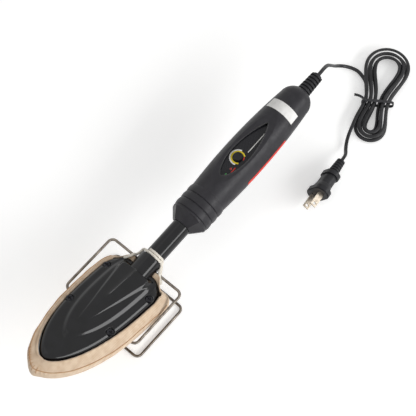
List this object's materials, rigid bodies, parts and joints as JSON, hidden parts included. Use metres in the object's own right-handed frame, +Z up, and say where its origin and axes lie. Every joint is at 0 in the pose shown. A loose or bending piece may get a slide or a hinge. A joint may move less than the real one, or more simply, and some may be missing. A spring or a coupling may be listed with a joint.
{
  "type": "sealing iron",
  "caption": "Small hobby sealing iron with a fabric sock over its pointed shoe, a dial in the handle, a tied mains cord and a bent wire stand.",
  "frame": {"origin": "on the bench under the middle of the iron and stand, cord left out", "axes": "+X towards the toe of the shoe along the iron, +Y to the iron's left side seen from behind, +Z up"},
  "size_m": [0.4874, 0.1215, 0.0847],
  "materials": {
    "steel_wire": "bright plated steel wire",
    "cast_aluminium": "machined cast aluminium",
    "heater_mica": "pressed mica strip",
    "ceramic": "glazed ceramic bead",
    "plated_steel": "plated steel",
    "black_screws": "blackened steel",
    "fibre_sheet": "pressed fibre sheet",
    "black_enamel": "glossy black enamel",
    "beige_cloth": "woven cotton, beige",
    "white_string": "twisted cotton string",
    "lead_sleeve": "glass sleeve",
    "black_grip": "matte moulded nylon",
    "red_strip": "gloss red plastic",
    "panel_sheet": "dark patterned sheet",
    "knob_black": "matte moulded plastic",
    "red_lens": "clear red lens",
    "green_lens": "clear green lens",
    "board_green": "glass fibre board",
    "capacitor_yellow": "potted capacitor case",
    "label_white": "white label film",
    "cord_rubber": "black flexible vinyl",
    "nickel_blade": "nickel plated brass"
  },
  "bodies": {
    "stand": {"wire_stand": "steel_wire"},
    "iron": {"sole_plate": "cast_aluminium", "heating_element": "heater_mica", "thermal_sensor": "ceramic", "clamp_plate": "plated_steel", "clamp_screws": "black_screws", "insulating_sheet": "fibre_sheet", "shoe_cover": "black_enamel", "cover_screws": "black_screws", "sock": "beige_cloth", "drawstring": "white_string", "shaft_tube": "black_enamel", "heater_leads": "lead_sleeve", "nose_collar": "black_grip", "handle_bottom_shell": "black_grip", "handle_top_shell": "black_grip", "shell_screws": "black_screws", "side_strip_left": "red_strip", "side_strip_right": "red_strip", "control_panel": "panel_sheet", "potentiometer": "knob_black", "power_lamp": "red_lens", "ready_lamp": "green_lens", "circuit_board": "board_green", "triac": "knob_black", "capacitor": "capacitor_yellow", "terminal_block": "board_green", "rating_label": "label_white", "end_cap": "black_grip", "cord_guard": "cord_rubber", "cord_clamp": "knob_black", "supply_wires": "lead_sleeve", "cord_lead": "cord_rubber", "cord_hank": "cord_rubber", "cord_tail": "cord_rubber", "twist_tie": "cord_rubber", "plug_body": "cord_rubber", "plug_blades": "nickel_blade"},
    "dial": {"dial_knob": "knob_black", "dial_shaft": "plated_steel"}
  },
  "joints": [
    {"name": "lift_off_stand", "type": "slide", "parent": "stand", "child": "iron", "axis": [0, 0, 1], "range_m": [0, 0.06]},
    {"name": "dial_turn", "type": "hinge", "parent": "iron", "child": "dial", "pos_m": [-0.08357, 0, 0.05944], "axis": [0.0628, 0, 0.998], "range_deg": [-135, 135]}
  ]
}
